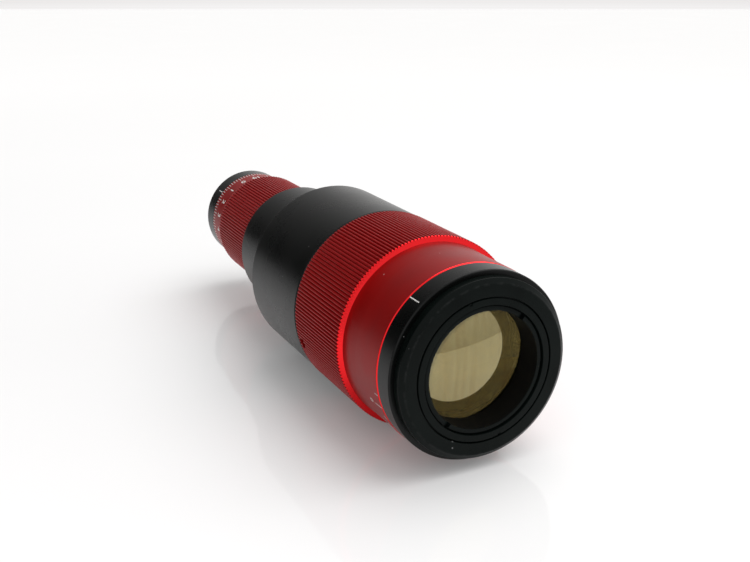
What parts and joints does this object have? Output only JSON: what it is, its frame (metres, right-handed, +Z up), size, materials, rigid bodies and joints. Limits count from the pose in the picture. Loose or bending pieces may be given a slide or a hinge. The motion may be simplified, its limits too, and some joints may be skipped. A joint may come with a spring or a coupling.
{
  "type": "zoom laser beam expander",
  "caption": "Cylindrical zoom beam expander: knurled zoom ring with a scale, slim rear focus ring, large coated output lens and a threaded input end.",
  "frame": {"origin": "on the optical axis, at the shoulder of the input thread", "axes": "+Y runs along the optical axis towards the input end, so the output lens faces -Y; +Z is up, away from the surface that the barrel lies on in the picture; +X completes the frame"},
  "size_m": [0.054, 0.1735, 0.054],
  "materials": {
    "front_black": "black anodised, fine turned",
    "index_black": "black anodised, satin, with a white index line",
    "body_black": "black anodised, satin",
    "rear_black": "black anodised, satin",
    "inner_black": "black anodised, matt",
    "anodised_red": "red anodised, with white engraved figures",
    "coated_glass": "polished, with an anti-reflection coating",
    "clear_glass": "polished, with an anti-reflection coating",
    "screw_steel": "black oxide",
    "follower_brass": "turned",
    "washer_plastic": "plain"
  },
  "bodies": {
    "barrel": {"front_ring": "front_black", "index_ring": "index_black", "output_cell": "front_black", "output_lens": "coated_glass", "output_retaining_ring": "front_black", "guide_barrel": "inner_black", "main_body": "body_black", "rear_guide_tube": "inner_black", "rear_index_ring": "rear_black", "zoom_front_washer": "washer_plastic", "zoom_rear_washer": "washer_plastic", "focus_front_washer": "washer_plastic", "focus_rear_washer": "washer_plastic"},
    "zoom_drive": {"zoom_ring": "anodised_red", "zoom_cam": "inner_black", "zoom_ring_screws": "screw_steel"},
    "zoom_carriage": {"zoom_cell": "inner_black", "zoom_lens": "clear_glass", "zoom_lens_retainer": "inner_black", "zoom_followers": "follower_brass"},
    "focus_drive": {"focus_ring": "anodised_red", "focus_cam": "inner_black", "focus_ring_screws": "screw_steel"},
    "focus_carriage": {"focus_cell": "inner_black", "focus_lens": "clear_glass", "focus_lens_retainer": "inner_black", "focus_followers": "follower_brass"}
  },
  "joints": [
    {"name": "zoom_turn", "type": "hinge", "parent": "barrel", "child": "zoom_drive", "pos_m": [0, -0.136, 0], "axis": [0, 1, 0], "range_deg": [0, 270]},
    {"name": "zoom_travel", "type": "slide", "parent": "barrel", "child": "zoom_carriage", "axis": [0, 1, 0], "range_m": [-0.02701, 0]},
    {"name": "focus_turn", "type": "hinge", "parent": "barrel", "child": "focus_drive", "pos_m": [0, -0.02825, 0], "axis": [0, 1, 0], "range_deg": [-150, 150]},
    {"name": "focus_travel", "type": "slide", "parent": "barrel", "child": "focus_carriage", "axis": [0, 1, 0], "range_m": [-0.01001, 0.01001]}
  ],
  "couplings": [
    {"joint": "zoom_travel", "follows": "zoom_turn", "m_per_rad": -0.0057296},
    {"joint": "focus_travel", "follows": "focus_turn", "m_per_rad": -0.0038197}
  ]
}
